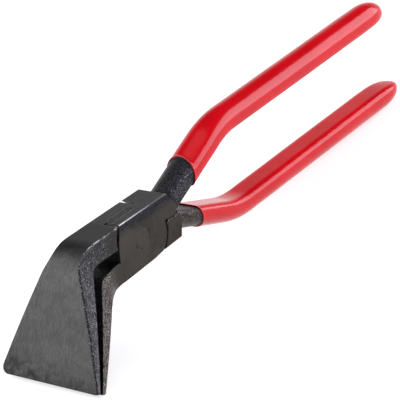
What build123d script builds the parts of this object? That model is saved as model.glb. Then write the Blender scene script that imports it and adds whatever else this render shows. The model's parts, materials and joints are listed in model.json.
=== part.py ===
from build123d import *
import os
from math import atan2, cos, degrees, radians, sin, sqrt, tan

# Hand seamer: seaming pliers with wide bent jaws, a riveted lap joint and two dipped grips.
# It is drawn about the rivet: +Y runs back to the handles, +Z up, +X out of the near face,
# origin on the rivet axis in the lap plane. The last step stands it on the jaw edge and a grip.
# Millimetres and degrees. Side outlines are (y, z) pairs.

# Joint block
HALF_WIDTH = 8.7
BLOCK_TOP = 12.2
LAP_GAP = 0.1
NEAR_FRONT_TOP = -11.3
NEAR_FRONT_BULGE = (-14.9, 4.2)
NEAR_FRONT_FOOT = -16.4
NEAR_BELLY = (5.0, -13.1)
NEAR_BOSS_R = 16.8
NEAR_BOSS_FOOT = -12.1
FAR_BOSS_R = 16.6
FAR_BOSS_TOP_R = 14.3
FAR_BOSS_FOOT = -13.3
SHOULDER_GAP = 0.6
UPPER_SHOULDER = ((-12.7, 12.2), (-15.15, 7.4), (-16.1, 1.9))
STEEP_BEVEL = 2.8
BEVEL_REACH = 0.5
EDGE_BREAK = 0.4
PLATE_OVERLAP = 2.0
SIDE_TOLERANCE = 0.01

# Jaws
BEND_ANGLE = 61.5
BEND_CORNER = -40.4
BEND_RADIUS = 19.0
BLADE_LENGTH = 58.6
TIP_HALF_WIDTH = 30.0
FAR_TIP_R = 3.3
NEAR_TIP_R = 0.9
FLARE_START = 4.0
FLARE_BLEND = 18.0
FLARE_MIDDLE = (21.9, 36.0)
NECK_FRONT = -22.5
NECK_BACK = (17.0, -35.5)
NECK_BLEND = 10.0
REACH = 45.0
UPPER_TIP = 2.7
LOWER_TIP = 1.9
TIP_OPENING = 1.4
THROAT_ROOF = 1.9
THROAT_FLOOR = -4.1
ROOF_END = -34.4
FLOOR_END = -32.8
ROOF_CORNER_R = 6.0
FLOOR_CORNER_R = 7.0
JAW_HEEL = (-22.0, -14.45)
JAW_BACK = (-32.4, -14.0)
JAW_BACK_R = 8.0
LOWER_SHOULDER_FOOT = 232

# Rear shoulders of the two levers
UPPER_REAR = ((20.9, 12.2), (25.8, 4.4), (24.4, 0.4))
LOWER_REAR = ((25.2, -0.8), (27.6, -3.4), (24.8, -11.6))
REAR_CORNER_R = 2.0

# Handles, symmetric about a line through the rivet that leans back by HANDLE_LEAN
HANDLE_LEAN = 1.67
TANG_ANGLE = 22.3
TANG_ORIGIN = 17.6
GRIP_OFFSET = 20.9
HANDLE_BEND_R = 42.0
HANDLE_END = 204.9
TANG_START = 19.0
TANG_HALF_WIDTH = 7.4
TANG_OUTER = 6.8
TANG_INNER = 3.2
TANG_CORNER = 2.5
FRONT_HALF_WIDTH = 8.2
FRONT_OUTER = 6.5
FRONT_INNER = 3.2
FRONT_LENGTH = 31.0
FRONT_FADE = 12.0
BURIED = 0.3
UPPER_RELIEF = ((25.8, 0.4), (28.2, 1.22))
LOWER_RELIEF = ((25.8, -0.35), (28.2, 0.42))
COAT = 0.7
UPPER_MOUTH = (41.9, 13.0)
LOWER_MOUTH = (40.9, 5.0)
GRIP_END_WALL = 10.0

# Rivet
RIVET_R = 4.5
RIVET_HEAD_R = 5.4
RIVET_HEAD_DEPTH = 1.8
RIVET_CLEARANCE = 0.05


def on_circle(radius, z, side):
    """Point of the circle about the rivet at height z, in front (-1) or behind (+1)."""
    return (side * sqrt(radius**2 - z**2), z)


def at_angle(radius, angle):
    return (radius * cos(radians(angle)), radius * sin(radians(angle)))


def boss_arc(radius, start, end):
    """Short arc of the circle about the rivet between two of its points."""
    middle = at_angle(radius, degrees(atan2(start[1] + end[1], start[0] + end[0])))
    return ThreePointArc(start, middle, end)


def slab(outline, x_from, x_to):
    """Side outline pushed out across the tool from x_from to x_to."""
    return extrude(Plane.YZ.offset(x_from) * outline, x_to - x_from)


def soften(outline, corners):
    """Round the named corners of an outline: each entry is (y, z, radius)."""
    for y, z, radius in corners:
        outline = fillet(outline.vertices().sort_by_distance((y, z, 0))[0], radius)
    return outline


def break_side(shape, x, skip):
    """Round the rim of the side face at x, except the edges nearest to the skip points."""
    rim = shape.edges().filter_by_position(Axis.X, x - SIDE_TOLERANCE, x + SIDE_TOLERANCE)
    for y, z in skip:
        rim = rim - [rim.sort_by_distance((x, y, z))[0]]
    return fillet(rim, EDGE_BREAK)


def steep_bevel(shape, x):
    """Long, narrow bevel down the side face from its top edge."""
    top = shape.faces().sort_by(Axis.Z)[-1]
    edge = top.edges().filter_by_position(Axis.X, x - SIDE_TOLERANCE, x + SIDE_TOLERANCE)
    return chamfer(edge, length=BEVEL_REACH, length2=STEEP_BEVEL, reference=top)


# Blade frame: origin at the sharp bend corner, s runs down the blade, depth runs inwards
def blade_point(s, depth):
    down = (-cos(radians(BEND_ANGLE)), -sin(radians(BEND_ANGLE)))
    inwards = (sin(radians(BEND_ANGLE)), -cos(radians(BEND_ANGLE)))
    y = BEND_CORNER + s * down[0] + depth * inwards[0]
    z = BLOCK_TOP + s * down[1] + depth * inwards[1]
    return (y, z)


def half_plan(tip_radius):
    """Near half of the jaw seen square to the outer blade face."""
    tip = (TIP_HALF_WIDTH, -BLADE_LENGTH)
    flare = (HALF_WIDTH, -FLARE_START)
    middle = (FLARE_MIDDLE[0], -FLARE_MIDDLE[1])
    half = make_face(
        Polyline(tip, (0, -BLADE_LENGTH), (0, REACH), (HALF_WIDTH, REACH), flare)
        + ThreePointArc(flare, middle, tip)
    )
    return soften(half, [(*tip, tip_radius), (*flare, FLARE_BLEND)])


def jaw_plan():
    """Plan shape of both jaws: the near tip corner is almost sharp, the far one is round."""
    outward = (0, -sin(radians(BEND_ANGLE)), cos(radians(BEND_ANGLE)))
    plane = Plane(origin=(0, BEND_CORNER, BLOCK_TOP), x_dir=(1, 0, 0), z_dir=outward)
    plan = half_plan(NEAR_TIP_R) + mirror(half_plan(FAR_TIP_R), about=Plane.YZ)
    return extrude(plane * plan, REACH, both=True)


def lower_neck():
    """The lower jaw stays as narrow as the block up to its heel, then widens quickly."""
    corner = (HALF_WIDTH, NECK_FRONT)
    half = make_face(
        Polyline(
            (0, 0),
            (HALF_WIDTH, 0),
            corner,
            NECK_BACK,
            (2 * REACH, NECK_BACK[1]),
            (2 * REACH, -2 * REACH),
            (0, -2 * REACH),
            close=True,
        )
    )
    half = soften(half, [(*corner, NECK_BLEND)])
    return extrude(half + mirror(half, about=Plane.YZ), 2 * REACH, both=True)


def upper_jaw():
    top, middle, foot = UPPER_SHOULDER
    outline = make_face(
        Polyline(
            top,
            (BEND_CORNER, BLOCK_TOP),
            blade_point(BLADE_LENGTH, 0),
            blade_point(BLADE_LENGTH, UPPER_TIP),
            (ROOF_END, THROAT_ROOF),
            foot,
        )
        + ThreePointArc(foot, middle, top)
    )
    outline = soften(
        outline,
        [(BEND_CORNER, BLOCK_TOP, BEND_RADIUS), (ROOF_END, THROAT_ROOF, ROOF_CORNER_R)],
    )
    return fillet((slab(outline, -TIP_HALF_WIDTH, TIP_HALF_WIDTH) & jaw_plan()).edges(), EDGE_BREAK)


def lower_jaw():
    shoulder_r = FAR_BOSS_R + SHOULDER_GAP
    top = on_circle(shoulder_r, THROAT_FLOOR, -1)
    foot = at_angle(shoulder_r, LOWER_SHOULDER_FOOT)
    outline = make_face(
        Polyline(
            top,
            (FLOOR_END, THROAT_FLOOR),
            blade_point(BLADE_LENGTH, UPPER_TIP + TIP_OPENING),
            blade_point(BLADE_LENGTH, UPPER_TIP + TIP_OPENING + LOWER_TIP),
            JAW_BACK,
            JAW_HEEL,
            foot,
        )
        + boss_arc(shoulder_r, foot, top)
    )
    outline = soften(
        outline, [(FLOOR_END, THROAT_FLOOR, FLOOR_CORNER_R), (*JAW_BACK, JAW_BACK_R)]
    )
    jaw = slab(outline, -TIP_HALF_WIDTH, TIP_HALF_WIDTH) & jaw_plan() & lower_neck()
    return fillet(jaw.edges(), EDGE_BREAK)


# Joint block
def near_plate():
    """Near half of the lap: the lower jaw lever's boss, heel and rear shoulder."""
    boss_top = on_circle(NEAR_BOSS_R, UPPER_REAR[2][1], 1)
    boss_foot = on_circle(NEAR_BOSS_R, NEAR_BOSS_FOOT, 1)
    foot = (NEAR_FRONT_FOOT, THROAT_FLOOR)
    top = (NEAR_FRONT_TOP, BLOCK_TOP)
    share = (NEAR_BELLY[0] - foot[0]) / (NEAR_BELLY[0] - JAW_HEEL[0])
    heel = (foot[0], NEAR_BELLY[1] + share * (JAW_HEEL[1] - NEAR_BELLY[1]))
    outline = make_face(
        Polyline(top, *UPPER_REAR, boss_top)
        + boss_arc(NEAR_BOSS_R, boss_top, boss_foot)
        + Polyline(boss_foot, NEAR_BELLY, heel, foot)
        + ThreePointArc(foot, NEAR_FRONT_BULGE, top)
    )
    outline = soften(outline, [(*UPPER_REAR[1], REAR_CORNER_R)])
    plate = steep_bevel(slab(outline, LAP_GAP / 2, HALF_WIDTH), HALF_WIDTH)
    return break_side(plate, HALF_WIDTH, [(foot[0], (foot[1] + heel[1]) / 2)])


def far_plate():
    """Far half of the lap: the upper jaw lever's boss, joined to its jaw and rear shoulder."""
    rear_top = on_circle(FAR_BOSS_TOP_R, BLOCK_TOP, 1)
    rear_foot = on_circle(FAR_BOSS_TOP_R, LOWER_REAR[0][1], 1)
    front_foot = on_circle(FAR_BOSS_R, FAR_BOSS_FOOT, -1)
    front_top = on_circle(FAR_BOSS_R, THROAT_ROOF, -1)
    shoulder_top, _, shoulder_foot = UPPER_SHOULDER
    inner_foot = (shoulder_foot[0] - PLATE_OVERLAP, THROAT_ROOF)
    inner_top = (shoulder_top[0] - PLATE_OVERLAP, BLOCK_TOP)
    outline = make_face(
        boss_arc(FAR_BOSS_TOP_R, rear_top, rear_foot)
        + Polyline(rear_foot, *LOWER_REAR, front_foot)
        + boss_arc(FAR_BOSS_R, front_foot, front_top)
        + Polyline(front_top, inner_foot, inner_top, rear_top)
    )
    outline = soften(outline, [(*LOWER_REAR[1], REAR_CORNER_R)])
    plate = slab(outline, -HALF_WIDTH, -LAP_GAP / 2)
    inner_edge = ((inner_foot[0] + inner_top[0]) / 2, (inner_foot[1] + inner_top[1]) / 2)
    return break_side(plate, -HALF_WIDTH, [inner_edge])


def rear_shoulder(corners, foot_z, radius, side):
    """The other half of a rear shoulder, with a hollow front face round the boss."""
    top = on_circle(radius, corners[0][1], 1)
    foot = on_circle(radius, foot_z, 1)
    outline = make_face(Polyline(top, *corners, foot) + boss_arc(radius, foot, top))
    outline = soften(outline, [(*corners[1], REAR_CORNER_R)])
    block = slab(outline, -side * LAP_GAP / 2, side * HALF_WIDTH)
    return break_side(block, side * HALF_WIDTH, [])


# Handles, drawn in the handle frame: +Y along the symmetry line, outwards = +Z
def handle_section(half_width, outer, inner, corner):
    """Domed on the outer side, flat with round corners on the inner side."""
    outline = make_face(
        EllipticalCenterArc((0, 0), half_width, outer, start_angle=0, arc_size=180)
        + Polyline(
            (-half_width, 0), (-half_width, -inner), (half_width, -inner), (half_width, 0)
        )
    )
    for side in (-1, 1):
        outline = soften(outline, [(side * half_width, -inner, corner)])
    return outline


def handle(coat, end):
    """Bent bar grown by a coat, with a round end and a wide front part that fades to the bend."""
    corner = TANG_CORNER + coat
    half_width = TANG_HALF_WIDTH + coat
    outer = TANG_OUTER + coat
    inner = TANG_INNER + coat
    section = handle_section(half_width, outer, inner, corner)
    wide = handle_section(
        FRONT_HALF_WIDTH + coat, FRONT_OUTER + coat, FRONT_INNER + coat, corner
    )
    buried = handle_section(half_width - BURIED, outer - BURIED, inner - BURIED, corner)
    centre = end - half_width
    run = GRIP_OFFSET / tan(radians(TANG_ANGLE))
    start_z = (TANG_START - TANG_ORIGIN) * tan(radians(TANG_ANGLE))
    path = FilletPolyline(
        (0, TANG_START, start_z),
        (0, TANG_ORIGIN + run, GRIP_OFFSET),
        (0, centre, GRIP_OFFSET),
        radius=HANDLE_BEND_R,
    )
    start = Plane(origin=path @ 0, x_dir=(-1, 0, 0), z_dir=path % 0)
    full = start.offset(FRONT_LENGTH)
    faded = full.offset(FRONT_FADE)
    front = loft([start * wide, full * wide]) + loft([full * wide, faded * buried])
    upright = Plane(origin=(0, centre, GRIP_OFFSET), x_dir=(1, 0, 0), z_dir=(0, -1, 0))
    turn = Axis((0, centre, GRIP_OFFSET), (0, 0, 1))
    half = section & Pos(half_width, 0) * Rectangle(2 * half_width, 4 * outer)
    cap = revolve(upright * half, axis=turn, revolution_arc=180)
    return sweep(start * section, path=path) + cap + front


def tang():
    return handle(0, HANDLE_END - GRIP_END_WALL)


def sleeve(mouth):
    """Grip coat over the tang, closed at the end and cut off at the mouth."""
    mouth_y, tilt = mouth
    plane = Pos(0, mouth_y, GRIP_OFFSET / 2) * Rot(-tilt, 0, 0)
    behind_mouth = plane * Pos(0, HANDLE_END / 2, 0) * Box(4 * REACH, HANDLE_END, 4 * REACH)
    return (handle(COAT, HANDLE_END) & behind_mouth) - tang()


def relief(corners, side):
    """Room cut into a tang where it starts, next to the other lever's tang and shoulder."""
    (front, low), (back, high) = corners
    far = side * REACH
    outline = Polyline((0, low), (front, low), (back, high), (back, far), (0, far), close=True)
    return slab(make_face(outline), -REACH, REACH)


def upper_side(shape):
    return Rot(HANDLE_LEAN, 0, 0) * shape


def lower_side(shape):
    return Rot(HANDLE_LEAN, 0, 0) * mirror(shape, about=Plane.XY)


def rivet(clearance):
    """Shank with a low taper under a flush head at both ends, grown by a clearance."""
    shank_r = RIVET_R + clearance
    head_r = RIVET_HEAD_R + clearance
    rim = HALF_WIDTH + clearance
    neck = HALF_WIDTH - RIVET_HEAD_DEPTH
    half_outline = Polyline(
        (0, -rim),
        (head_r, -rim),
        (shank_r, -neck),
        (shank_r, neck),
        (head_r, rim),
        (0, rim),
        close=True,
    )
    return revolve(Plane.XZ.rotated((0, 90, 0)) * make_face(half_outline), axis=Axis.X)


def upper_jaw_lever():
    """Outer jaw, far half of the lap and the lower tang."""
    shank = lower_side(tang()) - relief(LOWER_RELIEF, 1)
    shoulder = rear_shoulder(LOWER_REAR, NEAR_BOSS_FOOT, NEAR_BOSS_R + SHOULDER_GAP, 1)
    return upper_jaw() + far_plate() + shoulder + shank - rivet(0)


def lower_jaw_lever():
    """Inner jaw, near half of the lap and the upper tang."""
    shank = upper_side(tang()) - relief(UPPER_RELIEF, -1)
    foot_z = UPPER_REAR[2][1]
    shoulder = rear_shoulder(UPPER_REAR, foot_z, FAR_BOSS_TOP_R + SHOULDER_GAP, -1)
    return lower_jaw() + near_plate() + shoulder + shank - rivet(RIVET_CLEARANCE)


def standing(nodes):
    """Stand the tool on its lower jaw edge and lower grip, origin at the bottom centre."""
    tip_y, tip_z = blade_point(BLADE_LENGTH, UPPER_TIP + TIP_OPENING + LOWER_TIP)
    lean = radians(HANDLE_LEAN)
    end_y = HANDLE_END - TANG_HALF_WIDTH - COAT
    under = GRIP_OFFSET + TANG_OUTER + COAT
    rest_y = end_y * cos(lean) + under * sin(lean)
    rest_z = end_y * sin(lean) - under * cos(lean)
    slope = degrees(atan2(rest_z - tip_z, rest_y - tip_y))
    turned = {name: Rot(-slope, 0, 0) * shape for name, shape in nodes.items()}
    box = Compound(list(turned.values())).bounding_box()
    place = Pos(0, -box.center().Y, -box.min.Z)
    print(f"slope {slope:.4f} deg, rivet axis at y {-box.center().Y:.4f}, z {-box.min.Z:.4f} mm")
    return {name: place * shape for name, shape in turned.items()}


parts = {
    "upper_jaw_lever": upper_jaw_lever(),
    "lower_jaw_lever": lower_jaw_lever(),
    "pivot_rivet": rivet(0),
    "upper_grip": upper_side(sleeve(UPPER_MOUTH)),
    "lower_grip": lower_side(sleeve(LOWER_MOUTH)),
}
os.makedirs("parts", exist_ok=True)
for name, shape in standing(parts).items():
    export_step(shape, f"parts/{name}.step")
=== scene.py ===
import json
from math import cos, pi, radians, sin, sqrt, tan

import bmesh
import bpy
from mathutils import Matrix, Vector, noise


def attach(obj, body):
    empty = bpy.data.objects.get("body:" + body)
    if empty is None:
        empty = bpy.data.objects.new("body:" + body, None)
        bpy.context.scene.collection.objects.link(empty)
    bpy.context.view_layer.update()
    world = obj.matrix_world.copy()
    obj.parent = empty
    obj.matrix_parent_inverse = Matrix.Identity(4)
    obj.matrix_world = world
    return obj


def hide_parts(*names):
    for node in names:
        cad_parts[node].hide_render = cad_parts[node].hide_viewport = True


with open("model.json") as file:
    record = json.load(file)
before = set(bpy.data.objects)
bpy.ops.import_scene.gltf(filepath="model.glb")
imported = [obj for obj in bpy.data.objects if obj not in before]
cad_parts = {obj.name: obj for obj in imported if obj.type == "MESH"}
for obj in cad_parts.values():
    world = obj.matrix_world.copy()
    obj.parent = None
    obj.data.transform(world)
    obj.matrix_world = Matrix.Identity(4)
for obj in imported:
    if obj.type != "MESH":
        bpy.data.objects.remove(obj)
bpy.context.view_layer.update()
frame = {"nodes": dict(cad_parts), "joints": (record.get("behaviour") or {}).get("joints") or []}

# Hand seamer: black forged jaws and tangs from the frame, with dipped grips modelled here.
# Lengths named here are the tool's driving sizes in millimetres, drawn about the rivet with
# the joint block level: +Y runs back to the handles, +Z up, +X out of the near face.
# The frame is in metres, and in it the tool stands tipped back by SLOPE.

MM = 0.001
RIVET = Vector(frame["joints"][0]["pos_m"])
SLOPE = radians(4.2808)

# Jaws and joint block
HALF_WIDTH = 8.7
BLOCK_TOP = 12.2
BLOCK_FRONT = -14.0
BLOCK_BACK = 26.0
NECK_START = -23.5
BEND_ANGLE = radians(61.5)
BEND_CORNER = -40.4
BEND_RADIUS = 19.0
BLADE_LENGTH = 58.6
FRONT_GAP_TOP = -12.0
REAR_GAP_R = 17.1
LAP_FRONT = -12.0
LAP_BACK = 8.0
RIVET_HEAD_R = 5.4

# Handles, drawn about a line that rises to the back by HANDLE_LEAN
HANDLE_LEAN = radians(1.67)
TANG_ANGLE = radians(22.3)
TANG_ORIGIN = 17.6
GRIP_OFFSET = 20.9
HANDLE_BEND_R = 42.0
HANDLE_END = 204.9

# Grip sections: half width, outer height, inner height
FRONT_SECTION = (8.9, 7.2, 3.9)
MAIN_SECTION = (8.1, 7.5, 3.9)
GRIP_CORNER = 3.2
UPPER_CORNER_WIDTH = 3.2
LOWER_CORNER_WIDTH = 3.8
FADE_FROM = 52.0
FADE_TO = 80.0
COAT = 0.7
BEAD = 0.14
BEAD_LENGTH = 3.2
BEAD_CREST = 0.5
CAP_LENGTH = 15.0
CAP_FULLNESS = 0.88
FLAT_FULLNESS = 0.8
UPPER_END_DROP = 0.3
LOWER_END_DROP = 0.5
END_DROP_LENGTH = 26.0
SIDE_SHARE = 0.15
OUTER_SHARE = 0.25
WAVE = 0.05
WAVE_LENGTH = 14.0

# The grips are this much longer than the frame's plain ones
GRIP_REACH = 1.0

# Mouth planes: how far back they stand at half of GRIP_OFFSET, and their tilt
UPPER_MOUTH = (41.9, radians(13.0))
LOWER_MOUTH = (40.9, radians(5.0))

# Mouth profile: distance behind the mouth and depth in the coat, from the inside out
LIP = ((0.5, COAT), (0.2, 0.65), (0.05, 0.52), (0.0, 0.33), (0.07, 0.15), (0.22, 0.04), (0.45, 0.0))
# Depths in the coat over which the lip darkens with dirt and painted shade
RIM_DIRT_AND_SHADE_FROM_TO = (0.12, 0.40)

# Rings behind the lip are close together; past MOUTH_BLEND they stand square to the handle
MOUTH_BLEND = 44.0
BEHIND_LIP = (0.75, 1.1, 1.6, 2.2, 3.0, 4.0, 5.5, 8.0, 12.0, 17.0, 22.0, 28.0, 34.0, 39.0, 44.0)
INSIDE_LIP = (44.0, 28.0, 14.0, 6.0, 2.0)
BODY_RINGS = 74
INNER_RINGS = 24
CAP_RINGS = 14
DOME_STEPS = 44
CORNER_STEPS = 10
FLAT_STEPS = 12


# ---------------------------------------------------------------- node arithmetic
class Field:
    """A socket of a node tree that can be used in sums."""

    def __init__(self, tree, socket):
        self.tree = tree
        self.socket = socket

    def math(self, operation, *others):
        node = self.tree.nodes.new("ShaderNodeMath")
        node.operation = operation
        for slot, value in zip(node.inputs, (self, *others)):
            feed(self.tree, slot, value)
        return Field(self.tree, node.outputs[0])

    def __add__(self, other):
        return self.math("ADD", other)

    def __sub__(self, other):
        return self.math("SUBTRACT", other)

    def __mul__(self, other):
        return self.math("MULTIPLY", other)

    def __rsub__(self, other):
        return self.math("MULTIPLY", -1.0).math("ADD", other)

    __radd__ = __add__
    __rmul__ = __mul__

    def size(self):
        return self.math("ABSOLUTE")

    def ramp(self, start, end, low=0.0, high=1.0):
        """Smooth step from low at start to high at end."""
        node = self.tree.nodes.new("ShaderNodeMapRange")
        node.interpolation_type = "SMOOTHSTEP"
        limits = {"From Min": start, "From Max": end, "To Min": low, "To Max": high}
        feed(self.tree, node.inputs["Value"], self)
        for name, value in limits.items():
            feed(self.tree, node.inputs[name], value)
        return Field(self.tree, node.outputs[0])

    def band(self, middle, half, soft):
        """1 within half of the middle, fading over soft."""
        return (self - middle).size().ramp(half + soft, half)


def feed(tree, socket, value):
    if isinstance(value, Field):
        tree.links.new(value.socket, socket)
    else:
        socket.default_value = value


def join(tree, x, y, z):
    node = tree.nodes.new("ShaderNodeCombineXYZ")
    for socket, value in zip(node.inputs, (x, y, z)):
        feed(tree, socket, value)
    return Field(tree, node.outputs[0])


def split(vector):
    node = vector.tree.nodes.new("ShaderNodeSeparateXYZ")
    feed(vector.tree, node.inputs[0], vector)
    return [Field(vector.tree, output) for output in node.outputs]


def scatter(vector, scale, detail=3.0, roughness=0.55, distortion=0.0):
    """Noise between 0 and 1; scale is features per unit of the vector."""
    node = vector.tree.nodes.new("ShaderNodeTexNoise")
    feed(vector.tree, node.inputs["Vector"], vector)
    node.inputs["Scale"].default_value = scale
    node.inputs["Detail"].default_value = detail
    node.inputs["Roughness"].default_value = roughness
    node.inputs["Distortion"].default_value = distortion
    return Field(vector.tree, node.outputs["Fac"])


def cells(vector, scale):
    node = vector.tree.nodes.new("ShaderNodeTexVoronoi")
    node.feature = "F1"
    feed(vector.tree, node.inputs["Vector"], vector)
    node.inputs["Scale"].default_value = scale
    return Field(vector.tree, node.outputs["Distance"])


def blend_colour(amount, first, second):
    node = amount.tree.nodes.new("ShaderNodeMix")
    node.data_type = "RGBA"
    feed(amount.tree, node.inputs["Factor"], amount)
    for socket, colour in ((node.inputs["A"], first), (node.inputs["B"], second)):
        if not isinstance(colour, Field):
            colour = (*colour, 1.0)
        feed(amount.tree, socket, colour)
    return Field(amount.tree, node.outputs["Result"])


def tint(colour, factor):
    node = colour.tree.nodes.new("ShaderNodeVectorMath")
    node.operation = "SCALE"
    feed(colour.tree, node.inputs[0], colour)
    feed(colour.tree, node.inputs["Scale"], factor)
    return Field(colour.tree, node.outputs[0])


def mixed(amount, first, second):
    """A number that goes from first to second."""
    return amount * (second - first) + first


def new_material(name):
    material = bpy.data.materials.new(name)
    material.use_nodes = True
    tree = material.node_tree
    shader = tree.nodes["Principled BSDF"]
    return material, tree, shader


def tool_space(tree):
    """Position in millimetres and surface normal, both in the tool's own axes."""
    where = tree.nodes.new("ShaderNodeTexCoord")
    about_rivet = tree.nodes.new("ShaderNodeVectorMath")
    about_rivet.operation = "SUBTRACT"
    tree.links.new(where.outputs["Object"], about_rivet.inputs[0])
    about_rivet.inputs[1].default_value = RIVET
    scaled = tree.nodes.new("ShaderNodeVectorMath")
    scaled.operation = "SCALE"
    scaled.inputs["Scale"].default_value = 1 / MM
    tree.links.new(about_rivet.outputs[0], scaled.inputs[0])
    turned = []
    for source in (scaled.outputs[0], where.outputs["Normal"]):
        turn = tree.nodes.new("ShaderNodeVectorRotate")
        turn.rotation_type = "X_AXIS"
        turn.inputs["Angle"].default_value = SLOPE
        tree.links.new(source, turn.inputs["Vector"])
        turned.append(Field(tree, turn.outputs[0]))
    return turned


def rounded_normal(tree, radius):
    """Surface normal with the edges rounded, and a mask that is 1 on the edges."""
    bevel = tree.nodes.new("ShaderNodeBevel")
    bevel.samples = BEVEL_SAMPLES
    bevel.inputs["Radius"].default_value = radius * MM
    geometry = tree.nodes.new("ShaderNodeNewGeometry")
    compare = tree.nodes.new("ShaderNodeVectorMath")
    compare.operation = "DOT_PRODUCT"
    tree.links.new(bevel.outputs[0], compare.inputs[0])
    tree.links.new(geometry.outputs["Normal"], compare.inputs[1])
    edge = 1.0 - Field(tree, compare.outputs["Value"])
    return Field(tree, bevel.outputs[0]), edge.ramp(*EDGE_FROM_TO)


def relief(tree, height, normal, distance):
    """Bump from a height field; distance is its depth in millimetres."""
    bump = tree.nodes.new("ShaderNodeBump")
    bump.inputs["Distance"].default_value = distance * MM
    feed(tree, bump.inputs["Height"], height)
    if normal is not None:
        feed(tree, bump.inputs["Normal"], normal)
    return Field(tree, bump.outputs[0])


# ---------------------------------------------------------------- steel
def shades(colour, factors):
    return tuple(c * f for c, f in zip(colour, factors))


# Reflectance of the metal: dark where it is oiled black, bright where that is rubbed off; the
# bright one also paints highlights on edges
GROUND = (0.049, 0.049, 0.0505)
GROUND_DARK = (0.035, 0.035, 0.036)
TOP = (0.080, 0.078, 0.079)
TOP_DARK = shades(TOP, (0.68, 0.68, 0.68))
PLATE = (0.050, 0.0445, 0.039)
PLATE_DARK = shades(PLATE, (0.8, 0.8, 0.8))
ARM_PATCH = shades(PLATE, (0.58, 0.62, 0.68))
# Dark bevel colour, also used to paint shade on the plate under the block's top edge
DARK_BEVEL_AND_SHADE = (0.010, 0.011, 0.015)
SIDE = (0.080, 0.080, 0.085)
SIDE_DARK = (0.010, 0.010, 0.012)
# Near black for dirt and dark lines, also used to paint shade in the throat and the gaps
NEAR_BLACK_DIRT_AND_SHADE = (0.003, 0.003, 0.004)
BARE_METAL_AND_HIGHLIGHT = (0.55, 0.55, 0.58)

# Tints of the rough forged parts, and where along the tool the jaw's gives way to the tang's
TANG_TINT_FROM_TO = (8.0, 12.0)
OUTER_JAW_TINT = (1.0, 1.0, 1.0)
LOWER_TANG_TINT = (1.30, 1.10, 0.90)
INNER_JAW_TINT = shades(LOWER_TANG_TINT, (1.2, 1.2, 1.2))
UPPER_TANG_TINT = (0.72, 0.70, 0.79)

STEEL_METALLIC = 0.92
EDGE_RADIUS = 0.5
EDGE_FROM_TO = (0.01, 0.12)
BEVEL_SAMPLES = 4
STEEL_RELIEF = 0.5
RIVET_RELIEF = 0.3
SMOOTH_GLOSS = (0.34, 0.48)
ROUGH_GLOSS = (0.30, 0.60)
LINES_ACROSS = 3.0
LINES_ALONG_BLADE = 0.14
LINES_ALONG_BLOCK = 0.12
LINE_HEIGHT = 0.06
STREAK_FROM_TO = (0.36, 0.64)
SEAM_X = 0.8

# Shades that change along the blade and along the plate
BLADE_SHADES = (0.85, 1.35)
PLATE_SHADES = (1.04, 0.84)
PLATE_ENDS = (-12.0, 24.0)
TIP_DARK_LENGTH = 13.0

# Smooth patch on the side of the upper jaw's arm, in front of the near plate
PATCH_Y = (-25.0, -19.5)
PATCH_Z = (0.5, 3.0)

# The blade's own directions in (y, z), and where its straight part starts
DOWN = (-cos(BEND_ANGLE), -sin(BEND_ANGLE))
INWARDS = (sin(BEND_ANGLE), -cos(BEND_ANGLE))
BLADE_TANGENT = BEND_RADIUS * tan(BEND_ANGLE / 2)


def brushed(vector):
    """Fine grinding lines; the vector is squeezed along them."""
    return scatter(vector, 1.0, 4.0, 0.62)


def plate_grinding(tree, y, z):
    """Grinding lines that run up the side of the joint block."""
    return brushed(join(tree, y * 2.0, z * 0.11, 7.0))


def blotches(place):
    """Uneven patches of the black finish."""
    return scatter(place, 0.17, 5.0, 0.66, 0.6)


def bend_distances(y, z):
    """Distance down the blade from the bend corner, and depth under the outer skin."""
    along = (y - BEND_CORNER) * DOWN[0] + (z - BLOCK_TOP) * DOWN[1]
    under_blade = (y - BEND_CORNER) * INWARDS[0] + (z - BLOCK_TOP) * INWARDS[1]
    from_y = y - (BEND_CORNER + BLADE_TANGENT)
    from_z = z - (BLOCK_TOP - BEND_RADIUS)
    from_centre = (from_y * from_y + from_z * from_z).math("SQRT")
    in_bend = from_y.ramp(0.5, -0.5) * (along - BLADE_TANGENT).ramp(0.5, -0.5)
    straight = under_blade.math("MINIMUM", BLOCK_TOP - z)
    return along, mixed(in_bend, straight, BEND_RADIUS - from_centre)


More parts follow.
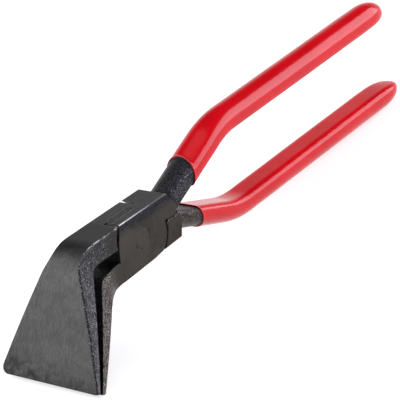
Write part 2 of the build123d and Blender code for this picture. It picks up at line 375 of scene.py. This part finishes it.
class Forging:
    """Places, surfaces and textures of one forging, as fields."""

    def __init__(self, tree, inner_side, block_front):
        self.tree = tree
        self.place, normal = tool_space(tree)
        self.x, self.y, self.z = split(self.place)
        self.nx, ny, nz = split(normal)
        self.drop = BLOCK_TOP - self.z
        self.along, self.under = bend_distances(self.y, self.z)
        self.find_regions(ny, nz, inner_side, block_front)
        self.draw_textures()

    def find_regions(self, ny, nz, inner_side, block_front):
        """1 on each kind of surface and 0 elsewhere."""
        y = self.y
        self.sideways = self.nx.size()
        self.front = y.ramp(block_front + 1, block_front - 1)
        self.behind = y.ramp(BLOCK_BACK - 0.5, BLOCK_BACK + 1.5)
        self.block = (1.0 - self.front) * (1.0 - self.behind)
        self.across = self.sideways.ramp(0.35, 0.6)
        self.bevel = nz.ramp(0.05, 0.13) * self.across * self.block
        self.flat_side = self.sideways.ramp(0.93, 0.985) * self.block * (1.0 - self.bevel)
        self.top = nz.ramp(0.9, 0.98) * self.block
        self.blade_face = self.under.ramp(0.45, 0.15) * (1.0 - self.across) * self.front
        self.ground_face = (self.blade_face + self.top).math("MINIMUM", 1.0)
        facing_in = (ny * INWARDS[0] + nz * INWARDS[1]) * inner_side
        inside = facing_in.ramp(0.15, 0.4) * (1.0 - self.across) * self.under.ramp(1.0, 2.0)
        self.throat = inside * y.ramp(BLOCK_FRONT + 1.5, BLOCK_FRONT)
        arm = y.ramp(*PATCH_Y) * self.z.ramp(*PATCH_Z)
        self.patch = arm * self.front * self.sideways.ramp(0.95, 0.99)
        smooth = (self.ground_face + self.flat_side + self.patch * 0.8).math("MINIMUM", 1.0)
        self.rough = 1.0 - smooth

    def draw_textures(self):
        """Grinding lines follow the blade, the block and the plates; the rest is forged."""
        tree, place = self.tree, self.place
        x, y, along = self.x * LINES_ACROSS, self.y, self.along
        down_blade = brushed(join(tree, x, along * LINES_ALONG_BLADE, 0.0))
        over_block = brushed(join(tree, x, y * LINES_ALONG_BLOCK, 3.0))
        on_skin = mixed(self.top, down_blade, over_block)
        self.lines = mixed(self.flat_side, on_skin, plate_grinding(tree, y, self.z))
        self.mottle = blotches(place)
        self.cloud = scatter(place, 0.05, 2.0, 0.5)
        self.grain = scatter(join(tree, self.x * 1.6, along * 0.7, y * 0.4), 1.0, 4.0, 0.7)
        self.grit = scatter(place, 1.5, 5.0, 0.75)
        self.drawn = scatter(join(tree, self.under * 1.8, along * 0.22, y * 0.1), 1.0, 4.0, 0.65)
        self.lumps = scatter(place, 0.40, 3.0, 0.6)
        self.pits = cells(place, 0.9)


def surface_colours(steel, side_tint, tang_tint):
    """Colour of each surface: rough sides and tangs, plates, blade skin and block top, with painted
    shade under the block's top edge and in the throat.
    """
    y, mottle, grit = steel.y, steel.mottle, steel.grit
    to_tang = y.ramp(*TANG_TINT_FROM_TO)
    light = blend_colour(to_tang, shades(SIDE, side_tint), shades(SIDE, tang_tint))
    forged = grit * 0.6 + mixed(steel.behind, steel.drawn, grit) * 0.4
    colour = blend_colour(forged.ramp(0.43, 0.59), SIDE_DARK, light)
    colour = tint(colour, steel.along.ramp(0.0, BLADE_LENGTH, *BLADE_SHADES))
    colour = blend_colour(steel.bevel * grit.ramp(0.80, 0.45), colour, DARK_BEVEL_AND_SHADE)
    colour = blend_colour(steel.patch * 0.85, colour, ARM_PATCH)

    plate = blend_colour(steel.cloud.ramp(0.35, 0.65), PLATE_DARK, PLATE)
    plate = tint(plate, mixed(mottle.ramp(0.34, 0.5), 0.78, 1.0))
    plate = tint(plate, y.ramp(*PLATE_ENDS, *PLATE_SHADES))
    colour = blend_colour(steel.flat_side, colour, plate)

    ground = blend_colour(mottle.ramp(0.32, 0.66), GROUND_DARK, GROUND)
    ground = tint(ground, mixed(steel.grain.ramp(*STREAK_FROM_TO), 0.86, 1.14))
    colour = blend_colour(steel.blade_face, colour, ground)
    colour = blend_colour(steel.top, colour, blend_colour(mottle.ramp(0.36, 0.62), TOP_DARK, TOP))

    streaks = steel.lines.ramp(*STREAK_FROM_TO)
    for region, low, high in ((steel.ground_face, 0.84, 1.16), (steel.flat_side, 0.93, 1.07)):
        colour = tint(colour, mixed(streaks * region + (1.0 - region) * 0.5, low, high))
    # Painted shade on the plate just under the block's top edge, in blotches
    painted_shade_under_edge = steel.z.ramp(BLOCK_TOP - 7.0, BLOCK_TOP - 2.5) * mottle.ramp(0.74, 0.38)
    colour = blend_colour(steel.flat_side * painted_shade_under_edge * 0.85, colour, DARK_BEVEL_AND_SHADE)
    # Painted shade deep in the throat between the jaws
    return blend_colour(steel.throat * 0.92, colour, NEAR_BLACK_DIRT_AND_SHADE)


def blade_marks(steel, colour):
    """Darker tip, a painted highlight on the crown under the bend, and a dark line along the skin's
    edge; returns the line too.
    """
    mottle, along = steel.mottle, steel.along
    from_corner = along - steel.x * 0.16
    tip = from_corner.ramp(BLADE_LENGTH - TIP_DARK_LENGTH, BLADE_LENGTH + 2) * steel.blade_face
    colour = tint(colour, mixed(tip * mottle.ramp(0.78, 0.34), 1.0, 0.18))
    # Painted highlight on the crown just under the bend, in blotches
    painted_bend_highlight = along.band(BLADE_TANGENT + 1.0, 0.5, 6.0) * steel.blade_face
    colour = tint(colour, mixed(painted_bend_highlight * mottle.ramp(0.2, 0.5), 1.0, 1.12))
    # A dark line along the edge of the blade's skin, past the bend
    wander = scatter(join(steel.tree, along * 0.35, steel.y * 0.35, steel.z * 0.35), 1.0, 2.0) * 0.6
    skin_edge = steel.across * steel.front * along.ramp(3.0, 8.0)
    dark_edge_line = (steel.under - wander).band(0.46, 0.42, 0.20) * skin_edge
    return blend_colour(dark_edge_line * steel.grit.ramp(0.05, 0.35), colour, NEAR_BLACK_DIRT_AND_SHADE), dark_edge_line


def lap_seam(steel, colour):
    """Dark split on the block's top with rubbed metal beside it; returns the worn strip too."""
    y = steel.y
    on_seam = steel.top * y.ramp(LAP_FRONT - 1, LAP_FRONT + 1) * y.ramp(LAP_BACK + 2, LAP_BACK - 2)
    sway = (scatter(join(steel.tree, y * 0.22, 0.0, 0.0), 1.0, 2.0) - 0.5) * 3.0
    beside = steel.x - sway - SEAM_X
    worn = on_seam * beside.band(0.0, 1.2, 0.9)
    colour = blend_colour(worn * steel.lumps.ramp(0.42, 0.60) * 0.75, colour, NEAR_BLACK_DIRT_AND_SHADE)
    rub = on_seam * beside.band(2.4, 0.3, 0.6) * steel.grit.ramp(0.48, 0.62)
    colour = blend_colour(rub * 0.5, colour, BARE_METAL_AND_HIGHLIGHT)
    split_line = on_seam * (steel.x - sway * 0.4).band(0.0, 0.22, 0.25)
    return blend_colour(split_line, colour, NEAR_BLACK_DIRT_AND_SHADE), worn


def gap_painted_shade(steel, colour):
    """Painted shade in the gaps in front of and behind the near plate, widest at the top."""
    y, z, drop = steel.y, steel.z, steel.drop
    from_front = y + drop * 0.62 - drop * drop * 0.024 - FRONT_GAP_TOP
    front_gap = from_front.band(0.0, drop.ramp(10.0, 0.0, 0.1, 0.6), 0.3) * z.ramp(1.0, 3.0)
    from_rivet = (y * y + z * z).math("SQRT")
    rear_gap = from_rivet.band(REAR_GAP_R, z.ramp(-9.0, 0.0, 0.2, 0.8), 0.3)
    rear_gap = rear_gap * y.ramp(10.0, 12.0) * z.ramp(1.6, 0.6)
    painted_gap_shade = (front_gap + rear_gap).math("MINIMUM", 1.0) * steel.nx.ramp(0.6, 0.9)
    return blend_colour(painted_gap_shade * 0.95, colour, NEAR_BLACK_DIRT_AND_SHADE)


def bright_wear_and_highlights(steel, colour, edge, dark_edge_line):
    """Bright metal on the forged grit and along worn edges, with painted highlights on the inner
    arm's edge and the near top edge.
    """
    y, mottle, grit, lumps = steel.y, steel.mottle, steel.grit, steel.lumps
    forged_only = steel.rough * (1.0 - steel.block) * (1.0 - steel.throat)
    sparkle = grit.ramp(0.57, 0.68) * lumps.ramp(0.38, 0.58) * forged_only
    sparkle = sparkle * mixed(steel.behind, 1.0, steel.sideways.ramp(0.35, 0.75))
    colour = blend_colour(sparkle * 0.85, colour, BARE_METAL_AND_HIGHLIGHT)
    # Painted highlight along the edge of the inner arm, broken into specks
    inner_arm = steel.across * steel.front * steel.along.ramp(1.0, -3.0)
    painted_arm_edge_highlight = steel.under.band(0.4, 0.2, 0.35) * inner_arm * lumps.ramp(0.42, 0.58)
    colour = blend_colour(painted_arm_edge_highlight * 0.45, colour, BARE_METAL_AND_HIGHLIGHT)
    wear = edge * scatter(steel.place, 0.5, 3.0, 0.65).ramp(0.44, 0.62) * (1.0 - dark_edge_line)
    strength = mixed(steel.block * y.ramp(18.0, 12.0), 0.40, 0.12)
    colour = blend_colour(wear * strength, colour, BARE_METAL_AND_HIGHLIGHT)
    # Painted highlight along the block's near top edge, strongest at the front
    rim = steel.block * steel.drop.ramp(0.6, 0.25) * steel.x.band(HALF_WIDTH - 0.6, 0.25, 0.3)
    rim = rim * y.ramp(14.0, -10.0, 0.12, 0.9) * mottle.ramp(0.25, 0.5)
    return blend_colour(rim, colour, BARE_METAL_AND_HIGHLIGHT)


def forged_steel(name, inner_side, block_front, side_tint, tang_tint):
    """Black forged steel: ground outer faces, smooth block, rough sides and tangs."""
    material, tree, shader = new_material(name)
    steel = Forging(tree, inner_side, block_front)
    edged, edge = rounded_normal(tree, EDGE_RADIUS)
    colour = surface_colours(steel, side_tint, tang_tint)
    colour, dark_edge_line = blade_marks(steel, colour)
    colour, worn = lap_seam(steel, colour)
    colour = gap_painted_shade(steel, colour)
    colour = bright_wear_and_highlights(steel, colour, edge, dark_edge_line)
    feed(tree, shader.inputs["Base Color"], colour)

    rough, grit = steel.rough, steel.grit
    gloss = mixed(rough, mixed(steel.mottle, *SMOOTH_GLOSS), mixed(grit, *ROUGH_GLOSS))
    feed(tree, shader.inputs["Roughness"], gloss)
    shader.inputs["Metallic"].default_value = STEEL_METALLIC
    dents = grit * 0.6 + steel.lumps * 0.7 - steel.pits * 0.25
    height = steel.lines * mixed(rough, LINE_HEIGHT, 0.0) + dents * mixed(rough, 0.02, 0.8)
    height = height + worn * grit * 0.5
    feed(tree, shader.inputs["Normal"], relief(tree, height, edged, STEEL_RELIEF))
    return material


def rivet_steel():
    """Flush rivet head, ground with the plate, with a broken dark ring round it."""
    material, tree, shader = new_material("rivet_ground_steel")
    place, _ = tool_space(tree)
    _, y, z = split(place)
    lines = plate_grinding(tree, y, z)
    mottle = blotches(place)
    radius = (y * y + z * z).math("SQRT")
    rings = scatter(join(tree, radius * 2.2, 0.0, 0.0), 1.0, 2.0)
    colour = blend_colour(mottle.ramp(0.34, 0.6), PLATE_DARK, PLATE)
    colour = tint(colour, mixed(lines.ramp(*STREAK_FROM_TO), 0.84, 1.18))
    ring = radius.ramp(RIVET_HEAD_R - 1.2, RIVET_HEAD_R - 0.2)
    colour = tint(colour, mixed(ring * mottle.ramp(0.60, 0.38), 1.0, 0.45))
    feed(tree, shader.inputs["Base Color"], colour)
    feed(tree, shader.inputs["Roughness"], mixed(mottle, *SMOOTH_GLOSS))
    shader.inputs["Metallic"].default_value = STEEL_METALLIC
    height = lines * LINE_HEIGHT + rings * 0.08
    feed(tree, shader.inputs["Normal"], relief(tree, height, None, RIVET_RELIEF))
    return material


# ---------------------------------------------------------------- dipped grips
RED = (0.48, 0.0022, 0.0072)
RED_DEEP = (0.43, 0.0015, 0.0054)
RIM_DIRT_AND_SHADE_COLOUR = (0.030, 0.0015, 0.0020)
PLASTIC_GLOSS = (0.12, 0.20)
PLASTIC_IOR = 1.40
PLASTIC_RELIEF = 0.035


def dipped_plastic():
    """Glossy red coat with faint orange peel and a rim darkened by dirt and painted shade."""
    material, tree, shader = new_material("red_dipped_plastic")
    place, _ = tool_space(tree)
    cloud = scatter(place, 0.06, 2.0, 0.5)
    orange_peel = scatter(place, 0.55, 2.0, 0.5)
    speck = scatter(place, 2.4, 2.0, 0.6)
    colour = blend_colour(cloud.ramp(0.3, 0.7), RED_DEEP, RED)
    rim = tree.nodes.new("ShaderNodeAttribute")
    rim.attribute_name = "rim"
    # Dark rim and inside of the sleeve: dirt and painted shade
    colour = blend_colour(Field(tree, rim.outputs["Fac"]), colour, RIM_DIRT_AND_SHADE_COLOUR)
    feed(tree, shader.inputs["Base Color"], colour)
    gloss = mixed(orange_peel, *PLASTIC_GLOSS) + speck.ramp(0.66, 0.8) * 0.10
    feed(tree, shader.inputs["Roughness"], gloss)
    shader.inputs["IOR"].default_value = PLASTIC_IOR
    height = orange_peel + cloud * 2.0 + speck * 0.05
    feed(tree, shader.inputs["Normal"], relief(tree, height, None, PLASTIC_RELIEF))
    return material


def placed(x, y, z):
    """Tool axes in millimetres to the frame in metres."""
    turned = Vector((x, y * cos(SLOPE) + z * sin(SLOPE), z * cos(SLOPE) - y * sin(SLOPE)))
    return RIVET + MM * turned


BEND_TANGENT = HANDLE_BEND_R * tan(TANG_ANGLE / 2)
BEND_END_Y = TANG_ORIGIN + GRIP_OFFSET / tan(TANG_ANGLE) + BEND_TANGENT
TANG_RUN = GRIP_OFFSET / sin(TANG_ANGLE) - BEND_TANGENT
BEND_RUN = HANDLE_BEND_R * TANG_ANGLE
GRIP_RUN = TANG_RUN + BEND_RUN + HANDLE_END - BEND_END_Y + GRIP_REACH
CAP_START = GRIP_RUN - CAP_LENGTH


def centre_line(run):
    """Point and slope of the handle's centre line, a run along it from the tang's origin."""
    if run <= TANG_RUN:
        return TANG_ORIGIN + run * cos(TANG_ANGLE), run * sin(TANG_ANGLE), TANG_ANGLE
    if run <= TANG_RUN + BEND_RUN:
        slope = TANG_ANGLE - (run - TANG_RUN) / HANDLE_BEND_R
        y = BEND_END_Y - HANDLE_BEND_R * sin(slope)
        return y, GRIP_OFFSET - HANDLE_BEND_R * (1 - cos(slope)), slope
    return BEND_END_Y + run - TANG_RUN - BEND_RUN, GRIP_OFFSET, 0.0


def smooth_step(value, start, end):
    t = min(max((value - start) / (end - start), 0.0), 1.0)
    return t * t * (3 - 2 * t)


def section(half_width, outer, inner, corner_width, inset):
    """Domed outside, flat inside with round corners; points as (across, out)."""
    half_width, outer, inner = half_width - inset, outer - inset, inner - inset
    corner = min(GRIP_CORNER - inset, inner)
    corner_width -= inset
    points = []
    for i in range(DOME_STEPS):
        angle = pi * i / DOME_STEPS
        points.append((half_width * cos(angle), outer * sin(angle)))
    for side, first in ((-1, pi), (1, 1.5 * pi)):
        if side > 0:
            for i in range(1, FLAT_STEPS):
                points.append(((half_width - corner_width) * (2 * i / FLAT_STEPS - 1), -inner))
        for i in range(CORNER_STEPS + (side < 0)):
            angle = first + 0.5 * pi * i / CORNER_STEPS
            across = side * (half_width - corner_width) + corner_width * cos(angle)
            points.append((across, corner - inner + corner * sin(angle)))
    return points


class GripShape:
    """A dipped grip as rings of points, from its tilted mouth to its round end."""

    def __init__(self, side, mouth, corner_width, end_drop):
        self.side = side
        self.mouth_y, self.mouth_tilt = mouth
        self.corner_width = corner_width
        self.end_drop = end_drop

    def sizes(self, run):
        """Half width, outer height and inner height of the section at a run."""
        t = smooth_step(centre_line(run)[0], FADE_FROM, FADE_TO)
        w, o, i = (a + (b - a) * t for a, b in zip(FRONT_SECTION, MAIN_SECTION))
        drop = smooth_step(run, GRIP_RUN - END_DROP_LENGTH, GRIP_RUN) * self.end_drop
        return w - SIDE_SHARE * drop, o - OUTER_SHARE * drop, i - drop

    def mouth_run(self, out):
        """Run at which a line along the tang meets the mouth plane."""
        y0 = TANG_ORIGIN - out * sin(TANG_ANGLE)
        z0 = out * cos(TANG_ANGLE)
        tilt = tan(self.mouth_tilt)
        to_mouth = self.mouth_y - y0 + (z0 - GRIP_OFFSET / 2) * tilt
        return to_mouth / (cos(TANG_ANGLE) - sin(TANG_ANGLE) * tilt)

    def point(self, run, across, out):
        y, z, slope = centre_line(run)
        y, z = y - out * sin(slope), (z + out * cos(slope)) * self.side
        lean = HANDLE_LEAN
        return placed(across, y * cos(lean) - z * sin(lean), y * sin(lean) + z * cos(lean))

    def ring(self, run, inset):
        outline = section(*self.sizes(run), self.corner_width, inset)
        return [self.point(run, across, out) for across, out in outline]

    def mouth_ring(self, distance, inset):
        """A ring that starts a distance behind the tilted mouth and evens out further back."""
        points = []
        for across, out in section(*self.sizes(MOUTH_BLEND), self.corner_width, inset):
            start = self.mouth_run(out)
            run = start + distance * (MOUTH_BLEND - start) / MOUTH_BLEND
            points.append(self.point(run, across, out))
        return points

    def cap_ring(self, angle, inset):
        """A ring of the round end, whose flat side turns into an ellipse."""
        forward = sin(angle) ** CAP_FULLNESS
        k = cos(angle) ** CAP_FULLNESS
        w, o, i = self.sizes(CAP_START + CAP_LENGTH * forward)
        run = CAP_START + (CAP_LENGTH - inset) * forward
        points = []
        for across, out in section(w, o, i, self.corner_width, inset):
            if out < 0:
                round_out = (inset - i) * sqrt(max(0.0, 1 - (across / (w - inset)) ** 2))
                out = (out * k + round_out * (1 - k)) * k ** (FLAT_FULLNESS - 1)
            points.append(self.point(run, across * k, out * k))
        return points

    def skins(self):
        """Outer rings with the dirt and painted shade on each, from the lip to the end, and inner
        rings back.
        """
        outer = []
        for distance, inset in LIP:
            bead = BEAD * (1 - inset / COAT)
            ring = self.mouth_ring(distance, inset - bead)
            outer.append((ring, smooth_step(inset, *RIM_DIRT_AND_SHADE_FROM_TO)))
        for distance in BEHIND_LIP:
            bead = BEAD * (1 - smooth_step(distance, BEAD_CREST, BEAD_LENGTH))
            outer.append((self.mouth_ring(distance, -bead), 0.0))
        body = CAP_START - MOUTH_BLEND
        for i in range(1, BODY_RINGS + 1):
            outer.append((self.ring(MOUTH_BLEND + body * i / BODY_RINGS, 0.0), 0.0))
        angles = [0.5 * pi * i / CAP_RINGS for i in range(1, CAP_RINGS)]
        outer += [(self.cap_ring(angle, 0.0), 0.0) for angle in angles]
        inner = [self.cap_ring(angle, COAT) for angle in reversed(angles)]
        for i in range(INNER_RINGS, 0, -1):
            inner.append(self.ring(MOUTH_BLEND + body * i / INNER_RINGS, COAT))
        inner += [self.mouth_ring(distance, COAT) for distance in INSIDE_LIP]
        return outer, inner


def sleeve_faces(count, outer_rings, inner_rings):
    """Faces of two skins that are closed at their tips and joined at the lip."""
    outer_tip = outer_rings * count
    inner_start = outer_tip + 1
    inner_tip = inner_start + inner_rings * count
    outer = [i * count for i in range(outer_rings)]
    inner = [inner_start + i * count for i in range(inner_rings)]
    faces = []

    def bridge(a, b):
        for k in range(count):
            faces.append((a + k, a + (k + 1) % count, b + (k + 1) % count, b + k))

    for a, b in zip(outer, outer[1:]):
        bridge(a, b)
    faces += [(outer[-1] + k, outer[-1] + (k + 1) % count, outer_tip) for k in range(count)]
    faces += [(inner_start + (k + 1) % count, inner_start + k, inner_tip) for k in range(count)]
    for a, b in zip(inner, inner[1:]):
        bridge(a, b)
    bridge(inner[-1], outer[0])
    return faces


def grip_mesh(name, shape, seed):
    """Hollow dipped sleeve with a slightly wavy outer skin, and a rim and inside darkened by dirt
    and painted shade.
    """
    outer, inner = shape.skins()
    places = []
    waves = []
    rim_dirt_and_shade = []
    for ring, shade in outer:
        for place in ring:
            wave = noise.noise(place / (WAVE_LENGTH * MM) + Vector((seed, 0, 0)))
            places.append(place)
            waves.append(wave * (1 - shade))
            rim_dirt_and_shade.append(shade)
    places.append(shape.point(GRIP_RUN, 0.0, 0.0))
    rim_dirt_and_shade.append(0.0)
    for ring in inner:
        places += ring
    places.append(shape.point(GRIP_RUN - COAT, 0.0, 0.0))
    waves += [0.0] * (len(places) - len(waves))
    # The inner skin is dark all over: dirt and painted shade inside the sleeve
    rim_dirt_and_shade += [1.0] * (len(places) - len(rim_dirt_and_shade))

    mesh = bpy.data.meshes.new(name)
    faces = sleeve_faces(len(inner[0]), len(outer), len(inner))
    mesh.from_pydata([tuple(place) for place in places], [], faces)
    mesh.update()
    normals = [v.normal.copy() for v in mesh.vertices]
    for vertex, normal, wave in zip(mesh.vertices, normals, waves):
        vertex.co += normal * (wave * WAVE * MM)
    rim = mesh.attributes.new("rim", "FLOAT", "POINT")
    rim.data.foreach_set("value", rim_dirt_and_shade)
    for polygon in mesh.polygons:
        polygon.use_smooth = True
    mesh.validate()
    grip = bpy.data.objects.new(name, mesh)
    bpy.context.scene.collection.objects.link(grip)
    return grip


def outwards(obj):
    """Turn every face to look out of its closed skin."""
    mesh = bmesh.new()
    mesh.from_mesh(obj.data)
    bmesh.ops.recalc_face_normals(mesh, faces=mesh.faces)
    mesh.to_mesh(obj.data)
    mesh.free()


# Each forging has its own steel, because the blade's regions start at different places
UPPER_STEEL = ("black_forged_steel_upper", 1.0, BLOCK_FRONT, OUTER_JAW_TINT, LOWER_TANG_TINT)
LOWER_STEEL = ("black_forged_steel_lower", -1.0, NECK_START, INNER_JAW_TINT, UPPER_TANG_TINT)
for node, material in (
    ("upper_jaw_lever", forged_steel(*UPPER_STEEL)),
    ("lower_jaw_lever", forged_steel(*LOWER_STEEL)),
    ("pivot_rivet", rivet_steel()),
):
    for slot in frame["nodes"][node].material_slots:
        slot.material = material

red = dipped_plastic()
upper_shape = GripShape(1, UPPER_MOUTH, UPPER_CORNER_WIDTH, UPPER_END_DROP)
lower_shape = GripShape(-1, LOWER_MOUTH, LOWER_CORNER_WIDTH, LOWER_END_DROP)
for name, shape, seed, body, node in (
    ("upper_grip_coat", upper_shape, 2.0, "lower_jaw", "upper_grip"),
    ("lower_grip_coat", lower_shape, 7.0, "upper_jaw", "lower_grip"),
):
    grip = grip_mesh(name, shape, seed)
    outwards(grip)
    grip.data.materials.append(red)
    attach(grip, body)
    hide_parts(node)


# ---------------------------------------------------------------- stage and light
FLOOR_SIZE = 12.0
FLOOR_SHADES = ((0.50, 0.50, 0.50), (0.53, 0.53, 0.53))
FLOOR_GLOW_NEAR = (0.60, 0.60, 0.60)
FLOOR_GLOW_FAR = (1.0, 1.0, 1.0)
FLOOR_ROUGHNESS = 0.85
FLOOR_IOR = 1.3
SKY_LOW = (1.0, 1.0, 1.0)
SKY_HIGH = (0.04, 0.04, 0.042)
SKY_FROM_TO = (0.10, 0.60)

# Squared distances in square metres over which the floor's glow grows
FAR_FROM_TO = (1.2, 6.0)


def pale_floor():
    """Faintly grained pale floor that glows more far away, so its horizon stays pale."""
    material, tree, shader = new_material("pale_floor")
    where = Field(tree, tree.nodes.new("ShaderNodeTexCoord").outputs["Object"])
    grain = scatter(where, 30.0, 2.0)
    feed(tree, shader.inputs["Base Color"], blend_colour(grain, *FLOOR_SHADES))
    x, y, _ = split(where)
    far = (x * x + y * y).ramp(*FAR_FROM_TO)
    glow = blend_colour(far, FLOOR_GLOW_NEAR, FLOOR_GLOW_FAR)
    feed(tree, shader.inputs["Emission Color"], glow)
    shader.inputs["Roughness"].default_value = FLOOR_ROUGHNESS
    shader.inputs["IOR"].default_value = FLOOR_IOR
    shader.inputs["Emission Strength"].default_value = 1.0
    return material


bpy.ops.mesh.primitive_plane_add(size=FLOOR_SIZE, location=(0, 0, 0))
floor = bpy.context.object
floor.name = "studio_floor"
floor.data.materials.append(pale_floor())

world = bpy.data.worlds.new("studio")
bpy.context.scene.world = world
world.use_nodes = True
sky = world.node_tree
direction = Field(sky, sky.nodes.new("ShaderNodeTexCoord").outputs["Generated"])
height = split(direction)[2]
background = sky.nodes["Background"]
glow = blend_colour(height.ramp(*SKY_FROM_TO), SKY_LOW, SKY_HIGH)
feed(sky, background.inputs["Color"], glow)
background.inputs["Strength"].default_value = 1.0

SUBJECT = Vector((0.0, 0.0, 0.03))


def toward(azimuth, elevation):
    """Unit vector from the tool to a place seen at this azimuth (0 in front, 90 at +X)."""
    return Vector((sin(azimuth) * cos(elevation), -cos(azimuth) * cos(elevation), sin(elevation)))


def softbox(name, azimuth, elevation, distance, width, height, power, colour=(1, 1, 1)):
    """Soft panel light that faces the tool; angles in degrees, lengths in metres."""
    light = bpy.data.lights.new(name, "AREA")
    light.shape = "RECTANGLE"
    light.size = width
    light.size_y = height
    light.energy = power
    light.color = colour
    lamp = bpy.data.objects.new(name, light)
    away = toward(radians(azimuth), radians(elevation))
    lamp.location = SUBJECT + away * distance
    lamp.rotation_euler = away.to_track_quat("Z", "Y").to_euler()
    bpy.context.scene.collection.objects.link(lamp)
    return lamp


FAINT_PINK = (1.0, 0.95, 1.05)
softbox("back_right_softbox", 140, 23, 1.5, width=1.7, height=1.0, power=25, colour=FAINT_PINK)
softbox("front_left_softbox", -45, 32, 1.6, width=2.0, height=1.3, power=25)
softbox("camera_fill", 60, 35, 2.2, width=1.0, height=1.0, power=12)
softbox("overhead_softbox", 0, 75, 1.6, width=3.3, height=1.5, power=11)

# ---------------------------------------------------------------- camera
CAMERA_AIM = Vector((0.0, -0.01789, 0.02720))
CAMERA_AZIMUTH = radians(46.21)
CAMERA_ELEVATION = radians(26.87)
CAMERA_ROLL = radians(16.13)
CAMERA_DISTANCE = 1.0289
CAMERA_LENS = 197.32

away = toward(CAMERA_AZIMUTH, CAMERA_ELEVATION)
level = Vector((cos(CAMERA_AZIMUTH), sin(CAMERA_AZIMUTH), 0.0))
upright = away.cross(level)
right = level * cos(CAMERA_ROLL) - upright * sin(CAMERA_ROLL)
up = upright * cos(CAMERA_ROLL) + level * sin(CAMERA_ROLL)
lens = bpy.data.cameras.new("photo_camera")
lens.sensor_width = 36.0
lens.lens = CAMERA_LENS
lens.clip_start = 0.05
camera = bpy.data.objects.new("photo_camera", lens)
camera.matrix_world = Matrix.Translation(CAMERA_AIM + away * CAMERA_DISTANCE) @ Matrix(
    (right, up, away)
).transposed().to_4x4()
bpy.context.scene.collection.objects.link(camera)
bpy.context.scene.camera = camera
bpy.context.scene.view_settings.view_transform = "Standard"
